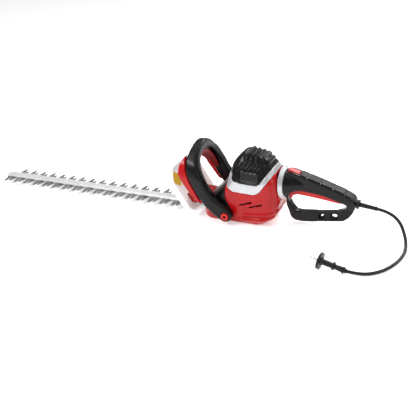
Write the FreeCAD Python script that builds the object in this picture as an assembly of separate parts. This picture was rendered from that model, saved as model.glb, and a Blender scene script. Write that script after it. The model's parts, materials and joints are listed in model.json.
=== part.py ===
import FreeCAD, Part
import math
import os

# Electric hedge trimmer: a vertical motor drives two toothed blades under a guide bar.
# All sizes are in millimetres. The origin is the middle of the motor axis on the resting
# surface, +X runs to the rear handle, -X along the blades and +Z is up.

V = FreeCAD.Vector
os.makedirs("parts", exist_ok=True)

# --- housing -----------------------------------------------------------------------
WALL = 3.2
FAR = 300.0
# Levels of the body: z, front x, rear x, half width, corner radius, tilt in degrees.
BODY_LEVELS = [
    (0.0, -127.0, 30.0, 44.0, 24.0, 0.0),
    (10.0, -131.0, 42.0, 50.0, 27.0, 0.0),
    (26.0, -131.0, 55.0, 53.0, 30.0, 0.0),
    (46.0, -126.0, 64.0, 54.5, 33.0, 0.0),
    (66.0, -108.0, 68.0, 54.5, 34.0, 0.0),
    (90.0, -80.0, 69.0, 54.0, 33.0, 0.0),
    (115.0, -60.0, 68.0, 52.0, 31.0, 0.0),
    (132.0, -52.0, 61.0, 47.0, 28.0, -3.0),
    (148.0, -45.0, 52.0, 40.0, 25.0, -6.0),
    (160.0, -35.0, 45.0, 32.0, 21.0, -9.0),
    (168.5, -26.0, 39.0, 25.0, 16.0, -11.0),
    (172.0, -17.0, 33.0, 18.0, 11.0, -11.0),
]
# Side outlines that part the body into its mouldings, as (x, z) points.
COVER_SIDE = [
    (-90, 138), (-42, 130), (-44, 117), (-38, 113), (20, 109), (30, 116), (80, 182), (80, 240), (-90, 240)]
TRIM_SIDE = [
    (-90, 128), (-54, 124), (-58, 97), (-40, 87), (14, 85), (26, 91), (92, 178), (92, 250), (-90, 250)]
SADDLE_SIDE = [
    (-140, 70), (-90, 70), (-90, 30), (-42, 22), (-62, 70), (-62, 96), (-50, 124), (-50, 160), (-140, 160)]
BADGE_SIDE = [(-18, 116), (24, 114), (22, 138), (-20, 140)]

# --- blades, guide bar and drive ------------------------------------------------------
TOOTH_PITCH = 35.0
STRIP_HALF = 13.5
LOWER_BLADE_Z = (13.7, 15.5)
UPPER_BLADE_Z = (15.8, 17.6)
BAR_Z = (17.9, 22.4)
BAR_FRONT = -800.0
BAR_REAR = -93.0
UPPER_FRONT = -792.0
LOWER_FRONT = -782.5
NEAR_TOOTH_X = -783.0
NEAR_TEETH = 18
FAR_TOOTH_X = -765.5
FAR_TEETH = 17
BLADE_LEAD = 10.5
LONG_TOOTH = (28.0, 8.5, 3.4)
SHORT_TOOTH = (21.0, 8.0, 2.2)
STROKE_RADIUS = 4.5
REST_SHIFT = 3.5
GEAR_X = -45.0
GEAR_Z = (27.0, 35.0)
GEAR_TEETH = 51
PINION_TEETH = 9
MODULE = 1.5
DISC_R = 10.0
HEAD_HALF_X = 26.0
HEAD_HALF_Y = 22.0
SLOT_CLEAR = 0.4
SHOULDER_R = 4.0
SCREW_X = [-745.0 + 105.0 * i for i in range(6)]

# --- front handle and guard ------------------------------------------------------------
HOOP_HALF = 75.0
HOOP_LEG = 25.0
HANDLE_SIDE = [
    (-40, 34), (-60, 54), (-84, 69), (-104, 98), (-119, 132), (-128, 160), (-131, 215), (-146, 215),
    (-154, 182), (-158, 158), (-155, 136), (-146, 110), (-128, 72), (-110, 46), (-86, 24), (-60, 8), (-40, 18)]
FRONT_SHELL_SIDE = [
    (-160, 168), (-172, 146), (-175, 126), (-160, 98), (-132, 58), (-119.6, 58), (-128, 72), (-146, 110),
    (-155, 136), (-158, 158)]
FRONT_SHELL_INNER = (61.0, 179.0)
SWITCH_BAR_SIDE = [(-121, 100), (-135, 150), (-140, 180), (-166, 180), (-165, 134), (-131, 100)]
SWITCH_BAR_TOP = 162.5
BOSS = (-57.0, 27.0)
GUARD_LEAN = math.radians(29.0)
GUARD_FOOT = (-160.0, 13.0)
GUARD_HALF = 70.0
GUARD_TALL = 122.0
GUARD_DEEP = 16.0
GUARD_WALL = 3.0
SWITCH_TRAVEL = 4.0

# --- rear handle -------------------------------------------------------------------------
SWIVEL_Z = 102.0
COLLAR_X = (68.5, 78.5)
COLLAR_R = (40.0, 37.0)
NECK_X = 78.9
NECK_R = 35.0
SPIGOT_R = 25.95
SPIGOT_WALL = 3.5
GRIP_HALF = 16.0
REAR_SIDE = [
    (79, 137), (100, 134), (123, 127), (152, 118), (184, 107), (217, 95), (238, 84), (243, 75), (242, 60),
    (235.5, 45), (227.5, 33), (214.5, 22.6), (175, 16.3), (142, 12), (114, 8.5), (97, 9.8), (88, 17), (84, 32),
    (78, 50), (79, 64)]
OPENING_SIDE = [
    (86, 76), (95, 88), (108, 92), (123, 91), (156, 88), (180, 83), (205, 75), (224, 67), (222, 57), (212, 50),
    (198, 44), (148, 35.5), (114, 31.5), (100, 32.5), (90, 45), (83, 58)]
REAR_FRONT_VIEW = [(-16, 160), (-16, 76), (-8.5, 52), (-8.5, 5), (8.5, 5), (8.5, 52), (16, 76), (16, 160)]
TRIGGER_SIDE = [
    (86, 91), (104, 97), (126, 96), (160, 92.5), (205, 81), (217, 77), (217, 70), (206, 69), (178, 73),
    (154, 76), (122, 79), (106, 79.5), (95, 76), (91, 66), (86, 67)]
TRIGGER_ROOM_SIDE = [
    (83.5, 60), (83.5, 100), (104, 105.5), (126, 104.5), (160, 100), (206, 86), (221, 81), (221, 66), (206, 64)]
TRIGGER_PIN = (211.5, 73.5)
TRIGGER_PIN_R = 2.0
TRIGGER_HALF = 12.0
BUTTON_SIDE = [(85, 123), (85, 140.5), (112, 131.5), (112, 119)]
BUTTON_HALF = 8.0
BUTTON_ROOM = (84.6, 112.4)
PAD_STOPS = [113.6, 131.4, 163.0, 192.4, 220.3, 240.0]
HOOK_SOLID_X = (150.0, 207.0)
HOOK_POCKETS = [
    [(155, 20), (158, 34), (171, 35), (168, 20)],
    [(184, 24), (185, 39), (203, 40), (201, 25)]]
HOOK_SLOTS = [
    [(157, 24.5), (163, 31), (168.5, 31), (162.5, 24.5)],
    [(186.5, 27.5), (187, 34), (199, 35), (198.5, 28.5)]]
HOOK_WEB = 1.5

# --- cord and plug ------------------------------------------------------------------------
CORD_R = 3.7
RELIEF_START = (243.0, 0.0, 69.2)
RELIEF_END = (290.0, 0.0, 63.0)
CORD_POINTS = [
    (290.0, 0.0, 63.0), (314.0, 0.0, 59.8), (341.0, -4.0, 43.0), (358.0, -22.0, 18.0), (367.0, -51.0, 3.9),
    (367.0, -87.0, 3.8), (357.0, -124.0, 3.8), (336.0, -160.0, 3.8), (302.0, -181.0, 3.8),
    (272.0, -182.5, 7.4)]
PLUG_FACE = (210.7, -176.9, 19.4)
PLUG_R = 18.5
PLUG_THICK = 5.5
PIN_ROLL = math.radians(37.5)
PIN_R = 2.4
PIN_LONG = 19.0
PIN_GAP = 19.0


def save(name, shape):
    if shape.ShapeType == "Compound" and len(shape.Solids) == 1:
        shape = shape.Solids[0]
    print(name, "solids", len(shape.Solids), "volume", round(shape.Volume), "valid", shape.isValid())
    shape.exportStep("parts/" + name + ".step")


def rounded_wire(points, radius, origin, u, v):
    """Closed wire through 2-D points with each corner rounded by a tangent arc."""
    count = len(points)
    edges = []
    marks = []
    for i, corner in enumerate(points):
        before = points[i - 1]
        after = points[(i + 1) % count]
        r = radius[i] if isinstance(radius, (list, tuple)) else radius
        ax, ay = before[0] - corner[0], before[1] - corner[1]
        bx, by = after[0] - corner[0], after[1] - corner[1]
        la, lb = math.hypot(ax, ay), math.hypot(bx, by)
        ax, ay, bx, by = ax / la, ay / la, bx / lb, by / lb
        half = math.acos(max(-1.0, min(1.0, ax * bx + ay * by))) / 2
        if r <= 0 or half > math.radians(89.5):
            marks.append((corner, None, corner))
            continue
        cut = min(r / math.tan(half), 0.48 * la, 0.48 * lb)
        r = cut * math.tan(half)
        mx, my = ax + bx, ay + by
        ml = math.hypot(mx, my)
        reach = r / math.sin(half) - r
        middle = (corner[0] + mx / ml * reach, corner[1] + my / ml * reach)
        leave = (corner[0] + bx * cut, corner[1] + by * cut)
        marks.append(((corner[0] + ax * cut, corner[1] + ay * cut), middle, leave))

    def place(p):
        return origin + u * p[0] + v * p[1]
    for i, (start, middle, end) in enumerate(marks):
        if middle is not None:
            edges.append(Part.Arc(place(start), place(middle), place(end)).toShape())
        following = marks[(i + 1) % count][0]
        if math.hypot(following[0] - end[0], following[1] - end[1]) > 1e-6:
            edges.append(Part.LineSegment(place(end), place(following)).toShape())
    return Part.Wire(edges)


def prism_xz(points, radius, y0, y1):
    wire = rounded_wire(points, radius, V(0, y0, 0), V(1, 0, 0), V(0, 0, 1))
    return Part.Face(wire).extrude(V(0, y1 - y0, 0))


def prism_xy(points, radius, z0, z1):
    wire = rounded_wire(points, radius, V(0, 0, z0), V(1, 0, 0), V(0, 1, 0))
    return Part.Face(wire).extrude(V(0, 0, z1 - z0))


def prism_yz(points, radius, x0, x1):
    wire = rounded_wire(points, radius, V(x0, 0, 0), V(0, 1, 0), V(0, 0, 1))
    return Part.Face(wire).extrude(V(x1 - x0, 0, 0))


def box(x0, x1, y0, y1, z0, z1):
    return Part.makeBox(x1 - x0, y1 - y0, z1 - z0, V(x0, y0, z0))


def rod(start, end, r):
    start, end = V(*start), V(*end)
    return Part.makeCylinder(r, (end - start).Length, start, end - start)


def cone(start, end, r0, r1):
    start, end = V(*start), V(*end)
    return Part.makeCone(r0, r1, (end - start).Length, start, end - start)


def ring(start, end, r_out, r_in):
    return rod(start, end, r_out).cut(rod(start, end, r_in))


def slot_box(x0, x1, half_y, z0, z1, r):
    return prism_xy([(x0, -half_y), (x1, -half_y), (x1, half_y), (x0, half_y)], r, z0, z1)


def join(shapes):
    whole = shapes[0].multiFuse(shapes[1:]) if len(shapes) > 1 else shapes[0]
    return whole.removeSplitter()


# --- housing ------------------------------------------------------------------------------
def body_solid(inset):
    """The whole body form, or the same form drawn in by a wall thickness."""
    wires = []
    low = BODY_LEVELS[0][0]
    high = BODY_LEVELS[-1][0]
    for z, front, rear, half, r, tilt in BODY_LEVELS:
        squeeze = (high - low - 2 * inset) / (high - low)
        level = low + inset + (z - low) * squeeze
        middle = (front + rear) / 2
        length = (rear - front) / 2 - inset
        width = half - inset
        angle = math.radians(tilt)
        corners = [(-length, -width), (length, -width), (length, width), (-length, width)]
        u = V(math.cos(angle), 0, math.sin(angle))
        wires.append(rounded_wire(corners, max(r - inset, 4.0), V(middle, 0, level), u, V(0, 1, 0)))
    return Part.makeLoft(wires, True, False)


def side_vents():
    """Two raking air slots on each flank of the motor."""
    cuts = []
    for x0, z0 in ((-26.0, 51.5), (-1.0, 48.5)):
        outline = [(x0, z0), (x0 + 34, z0 + 11), (x0 + 34, z0 + 15), (x0, z0 + 3.4)]
        cuts.append(prism_xz(outline, 1.2, -70, 70))
    return cuts


def cover_slots():
    """Air slots over the top of the cover, with narrow bars left between them."""
    cuts = []
    for i in range(4):
        x = -3.0 + 13.0 * i
        cuts.append(box(x, x + 6.0, -24, 24, 168, 200))
    return cuts


def make_housing():
    outside = body_solid(0.0)
    shell = outside.cut(body_solid(WALL))
    cover_zone = prism_xz(COVER_SIDE, 4, -FAR, FAR)
    trim_zone = prism_xz(TRIM_SIDE, 6, -FAR, FAR)
    saddle_zone = prism_xz(SADDLE_SIDE, 5, -FAR, FAR)
    blade_gate = box(-140, -110, -15.5, 15.5, 11.4, 25.2)
    base_gap = slot_box(-108, 22, 36, -1, WALL, 12)
    swivel_gap = rod((60, 0, SWIVEL_Z), (90, 0, SWIVEL_Z), 32)
    bolts = rod((BOSS[0], -80, BOSS[1]), (BOSS[0], 80, BOSS[1]), 4.0)
    cover = shell.common(cover_zone)
    for cut in cover_slots():
        cover = cover.cut(cut)
    trim = shell.common(trim_zone).cut(cover_zone)
    red = shell.cut(trim_zone)
    saddle = red.common(saddle_zone).cut(bolts)
    red = red.cut(saddle_zone)
    for cut in [blade_gate, base_gap, swivel_gap, bolts] + side_vents():
        red = red.cut(cut)
    trim = trim.cut(swivel_gap)
    near = box(-FAR, FAR, -FAR, 0, -FAR, FAR)
    save("housing_left", red.common(near))
    save("housing_right", red.cut(near))
    save("top_cover", cover)
    save("trim_band", trim)
    save("handle_saddle", saddle)
    save("base_plate", slot_box(-108, 22, 36, 0, WALL, 12))
    plate = rounded_wire(BADGE_SIDE, 2, V(0, -60, 0), V(1, 0, 0), V(0, 0, 1))
    block = Part.Face(plate).extrude(V(0, 20, 0))
    raised = body_solid(-0.8).common(block)
    save("badge_plate", raised.cut(outside))
    return outside


# --- drive -----------------------------------------------------------------------------------
def gear_face(teeth, z, middle_x, phase):
    """A spur gear outline with straight-flanked teeth and running backlash."""
    pitch_r = teeth * MODULE / 2
    half = math.pi * MODULE / 4 - 0.22
    lean = math.tan(math.radians(20))
    levels = [
        (pitch_r - 1.25 * MODULE, half + 1.0 * MODULE * lean),
        (pitch_r + 0.95 * MODULE, half - 0.95 * MODULE * lean)]
    points = []
    for i in range(teeth):
        centre = phase + 2 * math.pi * i / teeth
        for level, side in ((0, -1), (1, -1), (1, 1), (0, 1)):
            r, thick = levels[level]
            angle = centre + side * thick / r
            points.append(V(middle_x + r * math.cos(angle), r * math.sin(angle), z))
    points.append(points[0])
    return Part.Face(Part.makePolygon(points))


def make_drive():
    z0, z1 = GEAR_Z
    gear = gear_face(GEAR_TEETH, z0, GEAR_X, 0.0).extrude(V(0, 0, z1 - z0))
    gear = gear.cut(rod((GEAR_X, 0, z0), (GEAR_X, 0, z1), 5.0))
    for i in range(6):
        angle = math.radians(60 * i)
        x, y = GEAR_X + 23 * math.cos(angle), 23 * math.sin(angle)
        gear = gear.cut(rod((x, y, z0 - 1), (x, y, z1 + 1), 6.5))
    save("drive_gear", gear)
    save("gear_shaft", rod((GEAR_X, 0, 3.6), (GEAR_X, 0, 46.0), 5.0))
    swing = math.sqrt(STROKE_RADIUS ** 2 - REST_SHIFT ** 2)
    for name, zs, side in (("upper_eccentric", UPPER_BLADE_Z, -1), ("lower_eccentric", LOWER_BLADE_Z, 1)):
        x, y = GEAR_X + side * REST_SHIFT, -side * swing
        disc = rod((x, y, zs[0]), (x, y, zs[1]), DISC_R)
        save(name, disc.cut(rod((GEAR_X, 0, 0), (GEAR_X, 0, 30), 5.0)))
    save("lower_bush", ring((GEAR_X, 0, WALL), (GEAR_X, 0, 10.5), 9.0, 5.05))
    plate = slot_box(-118, 30, 46, 37.5, 41.5, 20)
    pad = box(-122, BAR_REAR - 4, -12.5, 12.5, BAR_Z[1], 37.5)
    bosses = [rod((0, 0, 37.5), (0, 0, 47.5), 15), rod((GEAR_X, 0, 37.5), (GEAR_X, 0, 47.5), 9)]
    case = join([plate, pad] + bosses)
    case = case.cut(rod((0, 0, 30), (0, 0, 60), 11)).cut(rod((GEAR_X, 0, 30), (GEAR_X, 0, 60), 5.05))
    for x in (-116.0, -102.0):
        case = case.cut(rod((x, 0, 20), (x, 0, 50), 2.5))
    save("gear_case", case)


def make_motor():
    pinion = gear_face(PINION_TEETH, 25.5, 0.0, 0.0).extrude(V(0, 0, 11.0))
    shaft = join([pinion, rod((0, 0, 25.5), (0, 0, 168.0), 4.0)])
    save("armature_shaft", shaft)
    core = ring((0, 0, 70), (0, 0, 124), 22.0, 4.0)
    for i in range(12):
        angle = math.radians(30 * i)
        cut = box(18, 24, -1.3, 1.3, 70, 130)
        cut.rotate(V(0, 0, 0), V(0, 0, 1), math.degrees(angle))
        core = core.cut(cut)
    save("armature_core", core)
    save("commutator", ring((0, 0, 127), (0, 0, 145), 13.0, 4.0))
    hub = ring((0, 0, 52), (0, 0, 64), 9.0, 4.0)
    disc = ring((0, 0, 62), (0, 0, 64), 33.0, 9.0)
    blades = []
    for i in range(12):
        blade = box(8.5, 32.5, -0.9, 0.9, 53, 62)
        blade.rotate(V(0, 0, 0), V(0, 0, 1), 30 * i)
        blades.append(blade)
    save("cooling_fan", join([hub, disc] + blades))
    yoke = ring((0, 0, 69), (0, 0, 125), 38.0, 34.0)
    poles = ring((0, 0, 69), (0, 0, 125), 35.0, 22.6)
    wedge = prism_xy([(0, 0), (50, 24), (50, -24)], 0, 70, 130)
    wedge_back = prism_xy([(0, 0), (-50, -24), (-50, 24)], 0, 70, 130)
    save("stator_core", join([yoke, poles.common(wedge), poles.common(wedge_back)]))
    coil_ring = ring((0, 0, 66.5), (0, 0, 128), 33.6, 25.0)
    coils = []
    for start in (29, 129, 209, 309):
        turns = [math.radians(start), math.radians(start + 22)]
        rim = [V(60 * math.cos(turn), 60 * math.sin(turn), 60) for turn in turns]
        wire = Part.makePolygon([V(0, 0, 60), *rim, V(0, 0, 60)])
        coils.append(coil_ring.common(Part.Face(wire).extrude(V(0, 0, 80))))
    save("field_coils", Part.makeCompound(coils))
    save("motor_bearing_lower", ring((0, 0, 39.5), (0, 0, 46.5), 11.0, 4.05))
    save("motor_bearing_upper", ring((0, 0, 158), (0, 0, 165), 11.0, 4.05))
    plate = ring((0, 0, 150), (0, 0, 166.5), 14.0, 11.0)
    arm = box(-30, 28, -9, 9, 150, 153).cut(rod((0, 0, 140), (0, 0, 170), 12.0))
    arm_y = box(-9, 9, -30, 30, 150, 153).cut(rod((0, 0, 140), (0, 0, 170), 12.0))
    lip = ring((0, 0, 150), (0, 0, 152), 14.0, 6.0)
    save("bearing_bridge", join([plate, arm, arm_y, lip]))
    brushes, holders = [], []
    for side in (-1, 1):
        y0, y1 = sorted((side * 13.5, side * 34.0))
        brushes.append(box(-3, 3, y0, y1, 131, 141))
        y0, y1 = sorted((side * 18.0, side * 36.0))
        holders.append(box(-5, 5, y0, y1, 129, 143).cut(box(-3, 3, y0 - 1, y1 + 1, 131, 141)))
    save("brushes", Part.makeCompound(brushes))
    save("brush_holders", Part.makeCompound(holders))


# --- blades -----------------------------------------------------------------------------------
def tooth_points(x, tooth, side):
    long, root, tip = tooth
    y0, y1 = side * STRIP_HALF, side * (STRIP_HALF + long)
    soft = 1.4
    return [
        (x - root, y0), (x - tip, y1 - side * soft), (x - tip + soft, y1),
        (x + tip - soft, y1), (x + tip, y1 - side * soft), (x + root, y0)]


def blade(front, zs, tooth, lead, shift):
    """A toothed strip with a drive head; the head's window takes the eccentric disc."""
    z0, z1 = zs
    head_x = GEAR_X + shift
    near, far = [], []
    for i in range(NEAR_TEETH):
        near += tooth_points(NEAR_TOOTH_X + lead + TOOTH_PITCH * i, tooth, -1)
    for i in range(FAR_TEETH):
        far += tooth_points(FAR_TOOTH_X + lead + TOOTH_PITCH * i, tooth, 1)
    rear = head_x - HEAD_HALF_X + 4
    points = near + [(rear, -STRIP_HALF), (rear, STRIP_HALF)] + far[::-1]
    if front < points[0][0] - 0.01:
        points = [(front, STRIP_HALF - 3), (front, -STRIP_HALF + 3)] + points
    else:
        points = [(points[0][0], STRIP_HALF - 3)] + points
    outline = Part.makePolygon([V(x, y, z0) for x, y in points + [points[0]]])
    strip = Part.Face(outline).extrude(V(0, 0, z1 - z0))
    head = slot_box(head_x - HEAD_HALF_X, head_x + HEAD_HALF_X, HEAD_HALF_Y, z0, z1, 8)
    whole = join([strip, head])
    half_x = DISC_R + 2 * STROKE_RADIUS + SLOT_CLEAR
    half_y = DISC_R + STROKE_RADIUS + SLOT_CLEAR
    whole = whole.cut(slot_box(head_x - half_x, head_x + half_x, half_y, z0 - 1, z1 + 1, 6))
    reach = SHOULDER_R + 2 * STROKE_RADIUS
    for x in SCREW_X:
        whole = whole.cut(slot_box(x - reach, x + reach, SHOULDER_R + 0.35, z0 - 1, z1 + 1, SHOULDER_R))
    return whole


def make_blades():
    save("upper_blade", blade(UPPER_FRONT, UPPER_BLADE_Z, LONG_TOOTH, 0.0, -REST_SHIFT))
    save("lower_blade", blade(LOWER_FRONT, LOWER_BLADE_Z, SHORT_TOOTH, BLADE_LEAD, REST_SHIFT))
    z0, z1 = BAR_Z
    half = STRIP_HALF
    bar = [(BAR_FRONT, -half), (BAR_REAR, -half), (BAR_REAR, half), (BAR_FRONT, half)]
    bar = prism_xy(bar, [9, 1, 1, 9], z0, z1)
    for x in SCREW_X:
        bar = bar.cut(rod((x, 0, z0), (x, 0, z0 + 3.6), 2.4))
    for x in (-116.0, -102.0):
        bar = bar.cut(rod((x, 0, z0 - 1), (x, 0, z1 + 1), 2.5))
    save("guide_bar", bar)
    tip_rear = UPPER_FRONT - 2.6
    tip = [(BAR_FRONT, -12), (tip_rear, -12), (tip_rear, 12), (BAR_FRONT, 12)]
    tip = prism_xy(tip, [2, 0.5, 0.5, 2], 9.5, z0)
    save("bar_tip_block", tip)
    screws = []
    for x in SCREW_X:
        head = rod((x, 0, 10.0), (x, 0, LOWER_BLADE_Z[0] - 0.3), 6.5)
        shoulder = rod((x, 0, 11), (x, 0, z0), SHOULDER_R)
        screws.append(join([head, shoulder, rod((x, 0, z0), (x, 0, z0 + 3.6), 2.4)]))
    save("blade_screws", Part.makeCompound(screws))
    clamps = []
    for x in (-116.0, -102.0):
        clamps.append(join([rod((x, 0, z0 + 0.5), (x, 0, 41.5), 2.5), rod((x, 0, 41.5), (x, 0, 45), 4.5)]))
    save("bar_screws", Part.makeCompound(clamps))


# --- front handle -------------------------------------------------------------------------------
def arch(half, top, drops):
    """The front view of a hoop: two upright legs that lean in to a crowned top."""
    low, middle, high = drops
    right = [(half, 2.0), (half, top - low), (half - 8, top - middle), (half * 0.52, top - high)]
    left = [(-y, z) for y, z in right[::-1]]
    wire_points = right + [(0, top + 3)] + left
    return prism_yz(wire_points, [1, 60, 50, 60, 90, 60, 50, 60, 1], -240, -20)


def outer_arch(half, top):
    return arch(half, top, (76, 44, 15))


def inner_arch(half, top):
    return arch(half, top, (55, 27, 6))


def make_front_handle(body):
    ring_zone = outer_arch(HOOP_HALF, 193.0).cut(inner_arch(HOOP_HALF - HOOP_LEG, 168.0))
    side = prism_xz(HANDLE_SIDE, 14, -HOOP_HALF - 5, HOOP_HALF + 5)
    handle = side.common(ring_zone).cut(body)
    bolt = rod((BOSS[0], -90, BOSS[1]), (BOSS[0], 90, BOSS[1]), 4.0)
    handle = handle.cut(bolt)
    for sign in (-1, 1):
        handle = handle.cut(rod((BOSS[0], sign * 70.0, BOSS[1]), (BOSS[0], sign * 80, BOSS[1]), 9.5))
    room_zone = outer_arch(HOOP_HALF - WALL, 190.0).cut(inner_arch(HOOP_HALF - HOOP_LEG + WALL, 171.0))
    room_face = side_face(HANDLE_SIDE, 14, -90).makeOffset2D(-WALL)
    room = room_face.extrude(V(0, 180, 0)).common(room_zone).cut(box(-90, 0, -90, 90, 0, 90))
    handle = handle.cut(room)
    near = box(-FAR, FAR, -FAR, 0, -FAR, FAR)
    save("front_handle_left", handle.common(near))
    save("front_handle_right", handle.cut(near))
    shell_zone = outer_arch(HOOP_HALF, 193.0).cut(inner_arch(*FRONT_SHELL_INNER))
    shell = prism_xz(FRONT_SHELL_SIDE, 6, -HOOP_HALF - 5, HOOP_HALF + 5).common(shell_zone).cut(side)
    save("front_shell_left", shell.common(near))
    save("front_shell_right", shell.cut(near))
    bolts = []
    for name, sign in (("left", -1), ("right", 1)):
        head = rod((BOSS[0], sign * 70.0, BOSS[1]), (BOSS[0], sign * 72.5, BOSS[1]), 7.5)
        bolts.append(join([head, rod((BOSS[0], sign * 47, BOSS[1]), (BOSS[0], sign * 70.0, BOSS[1]), 4.0)]))
        start, end = (BOSS[0], sign * 72.5, BOSS[1]), (BOSS[0], sign * 76.0, BOSS[1])
        save("handle_cap_" + name, ring(start, end, 9.5, 3.8))
    save("handle_bolts", Part.makeCompound(bolts))


def make_switch_bar():
    """The sprung second switch, a ribbed bow lying inside the front hoop."""
    half = HOOP_HALF - HOOP_LEG - 0.6
    outer = inner_arch(half, SWITCH_BAR_TOP)
    side = prism_xz(SWITCH_BAR_SIDE, 5, -60, 60)
    bar = side.common(outer.cut(inner_arch(half - 6.0, SWITCH_BAR_TOP - 6.0)))
    rib_zone = side.common(outer.cut(inner_arch(half - 7.2, SWITCH_BAR_TOP - 7.2)))
    parts = [bar]
    for i in range(8):
        z = 106.0 + 5.5 * i
        for y in (-46, 46):
            parts.append(rib_zone.common(box(-180, -100, y - 6, y + 6, z, z + 2.2)))
    save("front_switch_bar", join(parts))


# --- guard ------------------------------------------------------------------------------------------
def guard_axes():
    up = V(-math.sin(GUARD_LEAN), 0, math.cos(GUARD_LEAN))
    back = V(math.cos(GUARD_LEAN), 0, math.sin(GUARD_LEAN))
    return V(GUARD_FOOT[0], 0, GUARD_FOOT[1]), up, back


def guard_block(inset, start, deep):
    foot, up, back = guard_axes()
    half, tall = GUARD_HALF - inset, GUARD_TALL - inset
    shoulder, crown = tall * 0.78, half * 0.62
    points = [(-half, inset), (half, inset), (half, shoulder), (crown, tall), (-crown, tall), (-half, shoulder)]
    corners = [max(r - inset, 4) for r in (24, 24, 26, 24, 24, 26)]
    wire = rounded_wire(points, corners, foot + back * start, V(0, 1, 0), up)
    return Part.Face(wire).extrude(back * deep)


def make_guard():
    foot, up, back = guard_axes()
    dish = guard_block(0.0, 0.0, GUARD_DEEP).cut(guard_block(GUARD_WALL, GUARD_WALL, GUARD_DEEP))
    gate = box(-260, -60, -17, 17, -10, 30)
    dish = dish.cut(gate)
    holes = []
    for y in (-22.0, 22.0):
        spot = foot + up * 34 + V(0, y, 0)
        holes.append((spot, spot + back * 40))
    for start, end in holes:
        dish = dish.cut(rod(tuple(start - back * 5), tuple(end), 2.5))
    block = box(-200, -124, -32, 32, 31, 52).common(guard_block(4.0, GUARD_WALL, 90.0))
    block = block.cut(body_solid(0.0))
    for start, end in holes:
        block = block.cut(rod(tuple(start), tuple(start + back * 22), 2.5))
    save("guard_bracket", block)
    keep_out = prism_xz(FRONT_SHELL_SIDE, 6, -80, 80).fuse(prism_xz(HANDLE_SIDE, 14, -80, 80))
    keep_out = keep_out.fuse(body_solid(0.0))
    save("guard", dish.cut(keep_out))
    screws = []
    for start, end in holes:
        head = rod(tuple(start - back * 2.2), tuple(start), 4.6)
        screws.append(join([head, rod(tuple(start), tuple(start + back * 22), 2.5)]))
    save("guard_screws", Part.makeCompound(screws))
    spot = foot + up * 90 + V(0, -36, 0) + back * GUARD_WALL
    half = 22.0
    points = [(-half, 0), (0, -half), (half, 0), (0, half)]
    patch = Part.Face(rounded_wire(points, 1.5, spot, V(0, 1, 0), up)).extrude(back * 0.6)
    save("guard_patch", patch)


# --- rear handle --------------------------------------------------------------------------------------
def side_face(points, radius, y):
    return Part.Face(rounded_wire(points, radius, V(0, y, 0), V(1, 0, 0), V(0, 0, 1)))


def rear_form():
    """The solid outside form: a D in side view, slimmer below, flaring out to the collar in front."""
    hole = prism_xz(OPENING_SIDE, 9, -GRIP_HALF - 30, GRIP_HALF + 30)
    d_form = prism_xz(REAR_SIDE, 14, -GRIP_HALF, GRIP_HALF).common(prism_yz(REAR_FRONT_VIEW, 20, 60, 280))
    neck = cone((NECK_X - 3, 0, SWIVEL_Z), (132, 0, 106), NECK_R, 14.0)
    neck = neck.common(box(NECK_X, 140, -50, 50, 0, 160))
    return join([d_form.cut(hole), neck.cut(hole)])


def rear_room():
    """The space inside the grip shells, left solid where the cord hooks are."""
    depth = GRIP_HALF - WALL + 0.7
    hole = side_face(OPENING_SIDE, 9, -depth).makeOffset2D(WALL)
    room = side_face(REAR_SIDE, 14, -depth).makeOffset2D(-WALL).cut(hole).extrude(V(0, 2 * depth, 0))
    inner_view = [(y - math.copysign(WALL, y), z) for y, z in REAR_FRONT_VIEW]
    room = room.common(prism_yz(inner_view, 20, 60, 280))
    neck = cone((NECK_X + 3, 0, SWIVEL_Z), (128, 0, 106), NECK_R - 3.5, 11.0)
    neck = neck.common(box(NECK_X + 3.2, 140, -50, 50, 0, 160)).cut(hole.extrude(V(0, 2 * depth, 0)))
    return room.cut(box(*HOOK_SOLID_X, -30, 30, 0, 45)), neck


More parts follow.
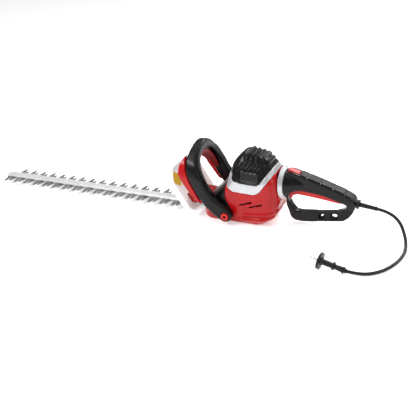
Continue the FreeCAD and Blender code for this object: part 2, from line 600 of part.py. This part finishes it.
def make_rear_handle():
    form = rear_form()
    for space in rear_room():
        form = form.cut(space)
    bore_r = SPIGOT_R - SPIGOT_WALL
    spigot = ring((65.0, 0, SWIVEL_Z), (NECK_X, 0, SWIVEL_Z), SPIGOT_R, bore_r)
    flange = ring((65.0, 0, SWIVEL_Z), (68.1, 0, SWIVEL_Z), 31.0, bore_r)
    save("swivel_spigot", join([spigot, flange]))
    form = form.cut(rod((NECK_X - 1, 0, SWIVEL_Z), (NECK_X + 4, 0, SWIVEL_Z), bore_r))
    pin_x, pin_z = TRIGGER_PIN
    pin = rod((pin_x, -14, pin_z), (pin_x, 14, pin_z), TRIGGER_PIN_R)
    save("trigger_pin", pin)
    form = form.cut(pin)
    form = form.cut(prism_xz(TRIGGER_ROOM_SIDE, 2, -TRIGGER_HALF - 0.4, TRIGGER_HALF + 0.4))
    form = form.cut(box(*BUTTON_ROOM, -BUTTON_HALF - 0.4, BUTTON_HALF + 0.4, 110, 160))
    relief_axis = V(*RELIEF_END) - V(*RELIEF_START)
    relief_axis.normalize()
    gate = rod(tuple(V(*RELIEF_START) - relief_axis * 12), tuple(V(*RELIEF_START) + relief_axis * 12), 6.6)
    form = form.cut(gate)
    for outline in HOOK_POCKETS:
        pocket = prism_xz(outline, 4, -30, 30)
        form = form.cut(pocket.cut(box(-FAR, FAR, -HOOK_WEB, HOOK_WEB, -FAR, FAR)))
    for outline in HOOK_SLOTS:
        form = form.cut(prism_xz(outline, 2.2, -30, 30))
    near = box(-FAR, FAR, -FAR, 0, -FAR, FAR)
    save("rear_shell_left", form.common(near))
    save("rear_shell_right", form.cut(near))
    collar = cone((COLLAR_X[0], 0, SWIVEL_Z), (COLLAR_X[1], 0, SWIVEL_Z), COLLAR_R[0], COLLAR_R[1])
    collar = collar.cut(rod((60, 0, SWIVEL_Z), (90, 0, SWIVEL_Z), SPIGOT_R + 0.05)).cut(body_solid(0.0))
    save("swivel_collar", collar)
    trigger = prism_xz(TRIGGER_SIDE, 2.5, -TRIGGER_HALF, TRIGGER_HALF)
    trigger = trigger.cut(rod((pin_x, -20, pin_z), (pin_x, 20, pin_z), TRIGGER_PIN_R + 0.05))
    save("trigger", trigger)
    save("lock_button", prism_xz(BUTTON_SIDE, 2, -BUTTON_HALF, BUTTON_HALF))
    save("switch_module", box(128, 151, -7, 7, 103.5, 112))


def make_grip_pads():
    """Soft segments along the top of the rear grip."""
    band = prism_xz([(x, z + 2.6) for x, z in REAR_SIDE], 14, -GRIP_HALF + 3, GRIP_HALF - 3)
    band = band.cut(prism_xz(REAR_SIDE, 14, -FAR, FAR))
    for i in range(len(PAD_STOPS) - 1):
        zone = box(PAD_STOPS[i] + 1.0, PAD_STOPS[i + 1] - 1.0, -30, 30, 70, 150)
        save("grip_pad_" + str(i + 1), band.common(zone))


# --- cord and plug ---------------------------------------------------------------------------------------
def cord_wire(points):
    """Straight runs joined by tangent arcs, and the tightest radius."""
    spots = [V(*p) for p in points]
    edges = []
    radii = []
    last = spots[0]
    for i in range(1, len(spots) - 1):
        a, b, c = spots[i - 1], spots[i], spots[i + 1]
        before, after = (a - b), (c - b)
        run = min(before.Length, after.Length)
        before.normalize()
        after.normalize()
        half_turn = (math.pi - before.getAngle(after)) / 2
        cut = 0.45 * run
        r = cut / math.tan(half_turn)
        start, end = b + before * cut, b + after * cut
        middle_way = before + after
        middle_way.normalize()
        middle = b + middle_way * (r / math.cos(half_turn) - r)
        edges.append(Part.LineSegment(last, start).toShape())
        edges.append(Part.Arc(start, middle, end).toShape())
        radii.append(r)
        last = end
    edges.append(Part.LineSegment(last, spots[-1]).toShape())
    return Part.Wire(edges), radii


def make_cord():
    path, radii = cord_wire(CORD_POINTS)
    start = V(*CORD_POINTS[0])
    direction = V(*CORD_POINTS[1]) - start
    circle = Part.Wire([Part.makeCircle(CORD_R, start, direction)])
    tube = path.makePipeShell([circle], True, True)
    print("cord arc radii", [round(r, 1) for r in radii])
    print("cord length", round(path.Length, 1), "tube", round(tube.Volume), "section x length",
          round(math.pi * CORD_R ** 2 * path.Length))
    save("cord", tube)
    relief_start, relief_end = V(*RELIEF_START), V(*RELIEF_END)
    axis = relief_end - relief_start
    axis.normalize()
    sleeve = cone(tuple(relief_start), RELIEF_END, 5.8, 4.6)
    root = rod(tuple(relief_start - axis * 6), tuple(relief_start), 6.5)
    collar = rod(tuple(relief_start + axis * 2.2), tuple(relief_start + axis * 7.5), 11.0)
    lip = rod(tuple(relief_end - axis * 3.0), RELIEF_END, 5.4)
    save("cord_gland", join([root, sleeve, collar, lip]))


def plug_frame():
    end = V(*CORD_POINTS[-1])
    face = V(*PLUG_FACE)
    axis = face - end
    axis.normalize()
    level = V(-axis.y, axis.x, 0)
    level.normalize()
    across = level * math.cos(PIN_ROLL) + axis.cross(level) * math.sin(PIN_ROLL)
    return end, face, axis, across


def make_plug():
    """A round two-pin plug: thin flange, slim finger grip and two moulded rings."""
    end, face, axis, across = plug_frame()

    def behind(distance):
        return tuple(face - axis * distance)

    parts = [
        rod(behind(PLUG_THICK), behind(0), PLUG_R),
        cone(behind(PLUG_THICK + 5), behind(PLUG_THICK), 6.6, 9.5),
        cone(behind(32), behind(PLUG_THICK + 5), 6.0, 6.6),
        rod(behind(36), behind(31.5), 8.8),
        cone(behind(54), behind(36), 6.4, 5.4),
        rod(behind(58), behind(54), 7.3),
        rod(tuple(end), behind(58), 5.0)]
    save("plug_body", join(parts))
    for name, side in (("plug_pin_a", -1), ("plug_pin_b", 1)):
        foot = face + across * (side * PIN_GAP / 2)
        tip = foot + axis * PIN_LONG
        print(name, "middle", [round(c, 3) for c in (foot + tip) * 0.5], "axis", [round(c, 5) for c in axis])
        save(name, rod(tuple(foot), tuple(tip), PIN_R))
    print("plug low", round((face - axis * PLUG_THICK).z - PLUG_R * math.hypot(axis.x, axis.y), 2))


body = make_housing()
make_drive()
make_motor()
make_blades()
make_front_handle(body)
make_switch_bar()
make_guard()
make_rear_handle()
make_grip_pads()
make_cord()
make_plug()
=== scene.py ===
import json
import math
import bmesh
import bpy
import numpy as np
from mathutils import Matrix, Vector


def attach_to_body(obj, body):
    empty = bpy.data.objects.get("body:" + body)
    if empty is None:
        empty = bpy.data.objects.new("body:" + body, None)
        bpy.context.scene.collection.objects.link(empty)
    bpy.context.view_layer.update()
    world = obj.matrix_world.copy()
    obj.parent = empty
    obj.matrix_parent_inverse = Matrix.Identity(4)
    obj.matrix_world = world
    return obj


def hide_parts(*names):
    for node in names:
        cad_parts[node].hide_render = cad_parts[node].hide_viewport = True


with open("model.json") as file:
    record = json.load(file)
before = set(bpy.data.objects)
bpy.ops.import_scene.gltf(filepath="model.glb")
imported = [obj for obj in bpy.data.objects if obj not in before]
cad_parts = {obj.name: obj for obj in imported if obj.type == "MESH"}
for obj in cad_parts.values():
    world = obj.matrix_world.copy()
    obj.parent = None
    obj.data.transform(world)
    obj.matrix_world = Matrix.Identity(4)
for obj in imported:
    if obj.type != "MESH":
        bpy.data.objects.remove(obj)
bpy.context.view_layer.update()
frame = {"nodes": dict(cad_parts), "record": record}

# The hedge trimmer's looks. Every length is in metres, in the CAD frame.
# +X runs to the rear handle, -X along the blades, +Z is up and z = 0 is the floor.

MM = 0.001
NODES = frame["nodes"]

# --- camera ---------------------------------------------------------------------------
CAMERA_AT = (0.5897, -1.3177, 0.7897)
CAMERA_AZIMUTH = math.radians(29.0)
CAMERA_DOWN = math.radians(27.64)
CAMERA_ROLL = math.radians(-6.0)
CAMERA_VIEW = math.radians(34.81)


def make_camera():
    """A camera at the viewing angle, rolled about its own line of sight."""
    az, down, roll = CAMERA_AZIMUTH, CAMERA_DOWN, CAMERA_ROLL
    back = Vector((math.sin(az) * math.cos(down), -math.cos(az) * math.cos(down), math.sin(down)))
    right = Vector((math.cos(az), math.sin(az), 0.0))
    up = back.cross(right)
    across = right * math.cos(roll) + up * math.sin(roll)
    top = up * math.cos(roll) - right * math.sin(roll)
    data = bpy.data.cameras.new("camera")
    data.angle = CAMERA_VIEW
    camera = bpy.data.objects.new("camera", data)
    bpy.context.scene.collection.objects.link(camera)
    turn = Matrix((across, top, back)).transposed().to_4x4()
    camera.matrix_world = Matrix.Translation(CAMERA_AT) @ turn
    bpy.context.scene.camera = camera


make_camera()

# --- cord -----------------------------------------------------------------------------
CORD_R = 0.0037
CORD_POINTS = [
    (0.2900, 0.0, 0.0630), (0.3140, 0.0, 0.0598), (0.3410, -0.0040, 0.0430), (0.3580, -0.0220, 0.0180),
    (0.3670, -0.0510, 0.0039), (0.3670, -0.0870, 0.0038), (0.3570, -0.1240, 0.0038),
    (0.3360, -0.1600, 0.0038), (0.3020, -0.1810, 0.0038), (0.2720, -0.1825, 0.0074)]


def make_cord():
    """The mains lead as one tube; each point holds the tube's radius."""
    data = bpy.data.curves.new("mains_cord", "CURVE")
    data.dimensions = "3D"
    data.bevel_depth = 1.0
    data.bevel_resolution = 5
    data.resolution_u = 16
    data.use_fill_caps = True
    spline = data.splines.new("NURBS")
    spline.points.add(len(CORD_POINTS) - 1)
    for point, place in zip(spline.points, CORD_POINTS):
        point.co = (*place, 1.0)
        point.radius = CORD_R
    spline.order_u = 3
    spline.use_endpoint_u = True
    cord = bpy.data.objects.new("mains_cord", data)
    bpy.context.scene.collection.objects.link(cord)
    return cord


cord = make_cord()


# --- materials ------------------------------------------------------------------------
FINE_SHARE = 0.35
SLOW_SHARE = 0.65
# Strength of the painted light: the milky guard glows faintly white, though it is no lamp.
GUARD_PAINTED_LIGHT = 0.14


def add_node(tree, kind, **values):
    """Add a shader node and set its inputs, or its settings where it has no such input."""
    node = tree.nodes.new(kind)
    for key, value in values.items():
        if key in node.inputs:
            node.inputs[key].default_value = value
        else:
            setattr(node, key, value)
    return node


def make_material(name, dark, light, rough=(0.35, 0.5), metal=0.0, grain=900.0, stretch=(1.0, 1.0, 1.0),
                  bump=0.15, depth=0.00015, patch=25.0, coat=0.0, clear=0.0, sheen=0.0, specular=0.5):
    """A moulded or machined surface: colour drifts slowly, fine grain sets roughness and bump."""
    material = bpy.data.materials.new(name)
    material.use_nodes = True
    tree = material.node_tree
    shader = tree.nodes["Principled BSDF"]
    shader.inputs["Metallic"].default_value = metal
    shader.inputs["Coat Weight"].default_value = coat
    shader.inputs["Coat Roughness"].default_value = 0.12
    shader.inputs["Transmission Weight"].default_value = clear
    shader.inputs["Sheen Weight"].default_value = sheen
    shader.inputs["Specular IOR Level"].default_value = specular
    place = add_node(tree, "ShaderNodeTexCoord")
    mapping = add_node(tree, "ShaderNodeMapping", Scale=stretch)
    tree.links.new(place.outputs["Object"], mapping.inputs["Vector"])
    slow = add_node(tree, "ShaderNodeTexNoise", Scale=patch, Detail=3.0, Roughness=0.55)
    tree.links.new(place.outputs["Object"], slow.inputs["Vector"])
    fine = add_node(tree, "ShaderNodeTexNoise", Scale=grain, Detail=4.0, Roughness=0.6)
    tree.links.new(mapping.outputs["Vector"], fine.inputs["Vector"])
    both = add_node(tree, "ShaderNodeMath", operation="MULTIPLY_ADD")
    both.inputs[1].default_value = FINE_SHARE
    tree.links.new(fine.outputs["Fac"], both.inputs[0])
    half = add_node(tree, "ShaderNodeMath", operation="MULTIPLY")
    half.inputs[1].default_value = SLOW_SHARE
    tree.links.new(slow.outputs["Fac"], half.inputs[0])
    tree.links.new(half.outputs[0], both.inputs[2])
    ramp = add_node(tree, "ShaderNodeValToRGB")
    ramp.color_ramp.elements[0].position = 0.32
    ramp.color_ramp.elements[0].color = (*dark, 1.0)
    ramp.color_ramp.elements[1].position = 0.68
    ramp.color_ramp.elements[1].color = (*light, 1.0)
    tree.links.new(both.outputs[0], ramp.inputs["Fac"])
    tree.links.new(ramp.outputs["Color"], shader.inputs["Base Color"])
    spread = add_node(tree, "ShaderNodeMapRange")
    spread.inputs["From Min"].default_value = 0.3
    spread.inputs["From Max"].default_value = 0.7
    spread.inputs["To Min"].default_value = rough[0]
    spread.inputs["To Max"].default_value = rough[1]
    tree.links.new(both.outputs[0], spread.inputs["Value"])
    tree.links.new(spread.outputs["Result"], shader.inputs["Roughness"])
    relief = add_node(tree, "ShaderNodeBump", Strength=bump, Distance=depth)
    tree.links.new(fine.outputs["Fac"], relief.inputs["Height"])
    tree.links.new(relief.outputs["Normal"], shader.inputs["Normal"])
    return material


def make_materials():
    """One material for each slot of the record."""
    m = {}
    m["red_shell"] = make_material("red_gloss", (0.36, 0.0025, 0.004), (0.45, 0.004, 0.006),
                                   rough=(0.17, 0.24), grain=1400, bump=0.06, coat=0.06, specular=0.28)
    m["red_control"] = make_material("red_satin", (0.46, 0.007, 0.007), (0.56, 0.012, 0.011),
                                     rough=(0.30, 0.42), grain=1600, bump=0.15, specular=0.35)
    m["black_shell"] = make_material("black_satin", (0.0018, 0.0018, 0.002), (0.0038, 0.0038, 0.0042),
                                     rough=(0.24, 0.34), grain=1500, bump=0.14, specular=0.24)
    m["black_cover"] = make_material("black_cover_satin", (0.0018, 0.0018, 0.002), (0.0038, 0.0038, 0.0042),
                                     rough=(0.24, 0.34), grain=1300, bump=0.14, specular=0.24)
    m["badge_black"] = make_material("badge_gloss", (0.010, 0.010, 0.011), (0.016, 0.016, 0.017),
                                     rough=(0.14, 0.22), grain=1800, bump=0.05, coat=0.3)
    m["silver_trim"] = make_material("silver_paint", (0.47, 0.48, 0.50), (0.60, 0.61, 0.63),
                                     rough=(0.26, 0.36), metal=0.55, grain=2600, bump=0.08, coat=0.25)
    m["soft_grip"] = make_material("soft_rubber", (0.003, 0.003, 0.003), (0.007, 0.007, 0.007),
                                   rough=(0.46, 0.6), grain=1100, bump=0.4, specular=0.3)
    m["guide_aluminium"] = make_material("brushed_aluminium", (0.70, 0.71, 0.72), (0.84, 0.85, 0.86),
                                         rough=(0.22, 0.34), metal=0.5, grain=1500, stretch=(0.03, 1.0, 1.0),
                                         bump=0.12)
    m["blade_steel"] = make_material("ground_steel", (0.28, 0.28, 0.275), (0.45, 0.45, 0.44),
                                     rough=(0.24, 0.38), metal=0.9, grain=1400, stretch=(1.0, 0.06, 1.0),
                                     bump=0.16)
    m["screw_steel"] = make_material("zinc_steel", (0.45, 0.46, 0.46), (0.60, 0.60, 0.59), rough=(0.28, 0.40),
                                     metal=1.0, grain=2200, bump=0.1)
    m["gear_steel"] = make_material("machined_steel", (0.30, 0.30, 0.31), (0.45, 0.45, 0.46),
                                    rough=(0.28, 0.42), metal=1.0, grain=1800, bump=0.15)
    m["motor_iron"] = make_material("laminated_iron", (0.11, 0.11, 0.115), (0.22, 0.22, 0.225),
                                    rough=(0.4, 0.58), metal=0.9, grain=1300, stretch=(0.05, 0.05, 1.0),
                                    bump=0.5)
    m["copper"] = make_material("enamelled_copper", (0.42, 0.15, 0.06), (0.62, 0.27, 0.12),
                                rough=(0.28, 0.42), metal=1.0, grain=1400, stretch=(1.0, 1.0, 0.06), bump=0.4)
    m["bronze"] = make_material("sintered_bronze", (0.40, 0.25, 0.10), (0.55, 0.37, 0.17), rough=(0.36, 0.5),
                                metal=1.0, grain=2000, bump=0.25)
    m["carbon"] = make_material("carbon_block", (0.02, 0.02, 0.02), (0.045, 0.045, 0.045), rough=(0.5, 0.66),
                                grain=2400, bump=0.3)
    m["fan_plastic"] = make_material("glass_filled_plastic", (0.05, 0.05, 0.052), (0.09, 0.09, 0.092),
                                     rough=(0.42, 0.56), grain=1500, bump=0.25)
    m["guard_clear"] = make_material("milky_guard", (0.84, 0.84, 0.83), (0.90, 0.90, 0.89),
                                     rough=(0.24, 0.36), grain=700, bump=0.06, clear=0.06, patch=12.0)
    # Painted light: a faint white glow on the guard lifts the shade in its inner dish; the guard is no lamp.
    guard_painted_light = m["guard_clear"].node_tree.nodes["Principled BSDF"]
    guard_painted_light.inputs["Emission Color"].default_value = (1.0, 0.99, 0.97, 1.0)
    guard_painted_light.inputs["Emission Strength"].default_value = GUARD_PAINTED_LIGHT
    m["yellow_patch"] = make_material("yellow_film", (0.70, 0.44, 0.02), (0.80, 0.54, 0.04), rough=(0.3, 0.4),
                                      grain=1800, bump=0.06)
    m["cord_rubber"] = make_material("cord_rubber", (0.004, 0.004, 0.004), (0.008, 0.008, 0.008),
                                     rough=(0.34, 0.48), grain=1600, bump=0.3, specular=0.3)
    m["pin_nickel"] = make_material("nickel_pin", (0.56, 0.54, 0.49), (0.70, 0.68, 0.62), rough=(0.14, 0.26),
                                    metal=1.0, grain=2200, bump=0.05)
    return m


MATERIALS = make_materials()
SLOT_OF = {row["node"]: row["material_slot"] for row in frame["record"]["subparts"]}
BODY_OF = {node: body for body, names in frame["record"]["behaviour"]["bodies"].items() for node in names}
for node, obj in NODES.items():
    obj.data.materials.clear()
    obj.data.materials.append(MATERIALS[SLOT_OF[node]])
bolt_finish = make_material("blackened_bolt", (0.006, 0.006, 0.006), (0.016, 0.016, 0.016), rough=(0.3, 0.45),
                            metal=0.6, grain=1900, bump=0.2)
NODES["handle_bolts"].data.materials[0] = bolt_finish
# Painted shade: the front switch bar takes a darker copy of the red control colour, standing in for the
# shadow it sits in inside the hoop.
switch_bar_painted_shade = make_material("ribbed_bar_red_painted_shade", (0.17, 0.003, 0.003), (0.26, 0.005, 0.005), rough=(0.36, 0.5),
                           grain=1500, bump=0.2, specular=0.3)
NODES["front_switch_bar"].data.materials[0] = switch_bar_painted_shade


# --- mesh helpers ---------------------------------------------------------------------
def new_object(name, mesh, slot, smooth=True):
    obj = bpy.data.objects.new(name, mesh)
    bpy.context.scene.collection.objects.link(obj)
    mesh.materials.clear()
    mesh.materials.append(MATERIALS[slot])
    if smooth:
        mesh.shade_smooth()
    return obj


def settle(obj):
    """Apply an object's modifiers to its mesh."""
    graph = bpy.context.evaluated_depsgraph_get()
    mesh = bpy.data.meshes.new_from_object(obj.evaluated_get(graph))
    obj.modifiers.clear()
    obj.data = mesh
    return obj


def copy_nodes(name, nodes):
    """One mesh holding copies of the named CAD nodes."""
    joined = bmesh.new()
    for node in nodes:
        joined.from_mesh(NODES[node].data)
    bmesh.ops.remove_doubles(joined, verts=joined.verts, dist=1e-6)
    mesh = bpy.data.meshes.new(name)
    joined.to_mesh(mesh)
    joined.free()
    return mesh


def attach(obj, nodes):
    """Ride on the replaced nodes' body and hide the replaced nodes."""
    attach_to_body(obj, BODY_OF[nodes[0]])
    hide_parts(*nodes)
    return obj


def keep_outer_skin(mesh):
    """Drop closed inner skins and crumbs, keeping the connected skin with the most points."""
    work = bmesh.new()
    work.from_mesh(mesh)
    unseen = set(work.verts)
    groups = []
    while unseen:
        group = [unseen.pop()]
        for vert in group:
            for edge in vert.link_edges:
                other = edge.other_vert(vert)
                if other in unseen:
                    unseen.discard(other)
                    group.append(other)
        groups.append(group)
    groups.sort(key=len)
    for group in groups[:-1]:
        bmesh.ops.delete(work, geom=group, context="VERTS")
    work.to_mesh(mesh)
    work.free()


def soften(name, nodes, voxel, passes, shape=None, puff=0.0):
    """Replace CAD nodes by one moulding with radiused edges and modelled surface detail."""
    obj = new_object(name, copy_nodes(name, nodes), SLOT_OF[nodes[0]])
    remesh = obj.modifiers.new("remesh", "REMESH")
    remesh.mode = "VOXEL"
    remesh.voxel_size = voxel
    settle(obj)
    keep_outer_skin(obj.data)
    relax = obj.modifiers.new("relax", "SMOOTH")
    relax.factor = 0.5
    relax.iterations = passes
    swell = obj.modifiers.new("swell", "DISPLACE")
    swell.strength = puff
    swell.mid_level = 0.0
    settle(obj)
    if shape is not None:
        count = len(obj.data.vertices)
        points = np.empty(count * 3)
        normals = np.empty(count * 3)
        obj.data.vertices.foreach_get("co", points)
        obj.data.vertex_normals.foreach_get("vector", normals)
        points, normals = points.reshape(-1, 3), normals.reshape(-1, 3)
        obj.data.vertices.foreach_set("co", shape(points, normals).ravel())
        obj.data.update()
    obj.data.materials.clear()
    obj.data.materials.append(MATERIALS[SLOT_OF[nodes[0]]])
    obj.data.shade_smooth()
    return attach(obj, nodes)


def bevelled(name, node, width, segments=3):
    """Replace a CAD node by a copy with rounded arrises."""
    obj = new_object(name, copy_nodes(name, [node]), SLOT_OF[node], smooth=False)
    bevel = obj.modifiers.new("bevel", "BEVEL")
    bevel.width = width
    bevel.segments = segments
    bevel.limit_method = "ANGLE"
    bevel.angle_limit = math.radians(32)
    bevel.harden_normals = True
    settle(obj)
    obj.data.shade_smooth()
    return attach(obj, [node])


def step(value, edge, width):
    """0 below the edge, 1 above it, with a smooth ramp of the given width."""
    t = np.clip((value - edge) / width + 0.5, 0.0, 1.0)
    return t * t * (3 - 2 * t)


def band(value, low, high, width):
    """1 between two edges and 0 outside them, with smooth ramps."""
    return step(value, low, width) * (1 - step(value, high, width))


# --- mouldings ------------------------------------------------------------------------
# The shape functions work in millimetres on points and push them out along their normals.
RIB_HEIGHTS = (33, 17)
RIB_RISE = 0.10
BAR_SPACING = 12.5
RAKE_SPACING = 11.0
CROWN_DROP = 2.6
CROWN_CUTS = (-12.9, -12.2, -11, -9, -6.5, -3.5, 0, 3.5, 6.5, 9, 11, 12.2, 12.9)


def housing_shape(points, normals):
    """Two swept ribs round the lower rear, a hollow between them and a parting line."""
    x, y, z = (points / MM).T
    rear = step(x, -22, 30)
    upper, lower = (height + RIB_RISE * (x - 20) for height in RIB_HEIGHTS)
    rib = np.exp(-((z - upper) / 4.2) ** 2) + np.exp(-((z - lower) / 4.2) ** 2)
    dip = np.exp(-((z - (upper + lower) / 2) / 3.6) ** 2)
    away = rear * (3.6 * rib - 2.0 * dip)
    seam = np.exp(-(y / 0.7) ** 2) * step(x, 30, 20) * 0.9
    return points + normals * ((away - seam)[:, None] * MM)


def cover_shape(points, normals):
    """Raised cooling bars over the crown, raking slots on the flanks and a frame round the badge."""
    x, y, z = (points / MM).T
    top = step(z + 0.18 * x, 160, 7) * band(x, -14, 44, 3)
    bars = 0.5 + 0.5 * np.cos((x + 8.0) * 2 * math.pi / BAR_SPACING)
    away = top * (5.0 * step(bars, 0.55, 0.35) - 1.6)
    flank = band(z + 0.12 * x, 139, 156, 3) * band(x, -30, 44, 4) * step(np.abs(y), 18, 6)
    rake = 0.5 + 0.5 * np.cos((x - 0.8 * (z - 145)) * 2 * math.pi / RAKE_SPACING)
    away -= 3.4 * flank * step(1 - rake, 0.45, 0.4)
    inside = np.maximum(np.abs(x - 2.0) / 24.5, np.abs(z - 127.0 + 0.02 * x) / 14.5)
    away += 1.5 * step(-y, 30, 4) * band(inside, 1.0, 1.16, 0.06)
    away -= 1.2 * band(z - 0.1 * x, 152, 156, 2.0) * step(np.abs(y), 26, 6)
    return points + normals * (away[:, None] * MM)


def grip_shape(points, normals):
    """A fuller pillar and lower bar, and a raised seam down the middle of the grip."""
    x, y, z = (points / MM).T
    fuller = 1.3 * (1 - step(z, 58, 16)) * (1 - step(x, 150, 20)) + 0.3
    seam = 0.35 * np.exp(-(y / 0.8) ** 2) * step(z, 80, 20)
    return points + normals * ((fuller + seam)[:, None] * MM)


soften("housing_shell", ["housing_left", "housing_right"], 0.0013, 6, housing_shape)
soften("motor_cover", ["top_cover"], 0.0010, 3, cover_shape)
soften("trim", ["trim_band"], 0.0009, 5)
soften("saddle", ["handle_saddle"], 0.0013, 8)
soften("front_hoop", ["front_handle_left", "front_handle_right"], 0.0018, 70)
soften("front_shell_near", ["front_shell_left"], 0.0012, 10)
soften("front_shell_far", ["front_shell_right"], 0.0012, 10)
soften("rear_grip", ["rear_shell_left", "rear_shell_right"], 0.0011, 16, grip_shape)
soften("guard_dish", ["guard"], 0.0010, 14)
soften("trigger_lever", ["trigger"], 0.0008, 14)
soften("lock_key", ["lock_button"], 0.0007, 10)
for node in [name for name in NODES if name.startswith("grip_pad")]:
    soften(node.replace("pad", "segment"), [node], 0.0007, 6)


def make_badge():
    """The blank plate on the near flank, sunk inside its own raised rim."""
    mesh = copy_nodes("badge", ["badge_plate"])
    work = bmesh.new()
    work.from_mesh(mesh)
    bmesh.ops.recalc_face_normals(work, faces=work.faces)
    front = [face for face in work.faces if face.normal.y < -0.6]
    bmesh.ops.inset_region(work, faces=front, thickness=1.1 * MM, depth=0.0)
    bmesh.ops.inset_region(work, faces=front, thickness=0.5 * MM, depth=-0.7 * MM)
    work.to_mesh(mesh)
    work.free()
    attach(new_object("badge", mesh, "badge_black", smooth=False), ["badge_plate"])


make_badge()
bevelled("collar", "swivel_collar", 0.0012)


def make_bar():
    """The guide bar with a crowned top and crisp arrises."""
    mesh = copy_nodes("bar", ["guide_bar"])
    work = bmesh.new()
    work.from_mesh(mesh)
    bmesh.ops.recalc_face_normals(work, faces=work.faces)
    for level in CROWN_CUTS:
        bmesh.ops.bisect_plane(work, geom=[*work.verts, *work.edges, *work.faces],
                               plane_co=(0, level * MM, 0), plane_no=(0, 1, 0))
    top = max(vert.co.z for vert in work.verts)
    half = max(vert.co.y for vert in work.verts)
    for vert in work.verts:
        if vert.co.z > top - 1e-6:
            vert.co.z -= CROWN_DROP * MM * (abs(vert.co.y) / half) ** 3
    work.to_mesh(mesh)
    work.free()
    bar = new_object("bar", mesh, "guide_aluminium", smooth=False)
    mesh.shade_smooth()
    split = bar.modifiers.new("split", "EDGE_SPLIT")
    split.split_angle = math.radians(42)
    settle(bar)
    attach(bar, ["guide_bar"])


make_bar()

# --- cord pieces ----------------------------------------------------------------------
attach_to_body(cord, "rear_handle")
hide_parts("cord")
cord.data.materials.append(MATERIALS["cord_rubber"])


# --- stage ----------------------------------------------------------------------------
FLOOR_HALF = 8.0
FLOOR_DROP = 0.0003
FLOOR_GLOW = 0.4


def make_stage():
    """A pale floor just under the object."""
    mesh = bpy.data.meshes.new("floor")
    half = FLOOR_HALF
    corners = [(-half, -half, 0), (half, -half, 0), (half, half, 0), (-half, half, 0)]
    mesh.from_pydata(corners, [], [(0, 1, 2, 3)])
    floor = bpy.data.objects.new("floor", mesh)
    bpy.context.scene.collection.objects.link(floor)
    floor.location.z = -FLOOR_DROP
    material = bpy.data.materials.new("floor_paint")
    material.use_nodes = True
    shader = material.node_tree.nodes["Principled BSDF"]
    shader.inputs["Base Color"].default_value = (0.93, 0.93, 0.935, 1.0)
    shader.inputs["Roughness"].default_value = 0.7
    shader.inputs["Emission Color"].default_value = (1.0, 1.0, 1.0, 1.0)
    shader.inputs["Emission Strength"].default_value = FLOOR_GLOW
    mesh.materials.append(material)


def add_light(name, place, aim, size, power):
    """A rectangular lamp in watts, turned to its aim."""
    data = bpy.data.lights.new(name, "AREA")
    data.shape = "RECTANGLE"
    data.size, data.size_y = size
    data.energy = power
    light = bpy.data.objects.new(name, data)
    bpy.context.scene.collection.objects.link(light)
    light.location = place
    light.rotation_euler = (Vector(aim) - Vector(place)).to_track_quat("-Z", "Y").to_euler()


def make_light():
    """An even white world, one large ceiling lamp and three smaller ones for the highlights."""
    world = bpy.data.worlds.new("studio")
    world.use_nodes = True
    world.node_tree.nodes["Background"].inputs["Color"].default_value = (1.0, 1.0, 1.0, 1.0)
    world.node_tree.nodes["Background"].inputs["Strength"].default_value = 0.42
    bpy.context.scene.world = world
    add_light("ceiling", (0.0, 0.4, 3.4), (0.0, 0.0, 0.0), (5.0, 4.0), 60)
    add_light("key", (-1.0, -1.1, 1.3), (0.0, 0.0, 0.1), (1.2, 0.22), 20)
    add_light("rim", (0.6, 1.2, 1.2), (0.0, 0.0, 0.1), (1.6, 0.22), 26)
    add_light("side", (1.5, -0.6, 0.8), (0.1, 0.0, 0.1), (0.5, 0.7), 4)
    bpy.context.scene.view_settings.view_transform = "Standard"


make_stage()
make_light()
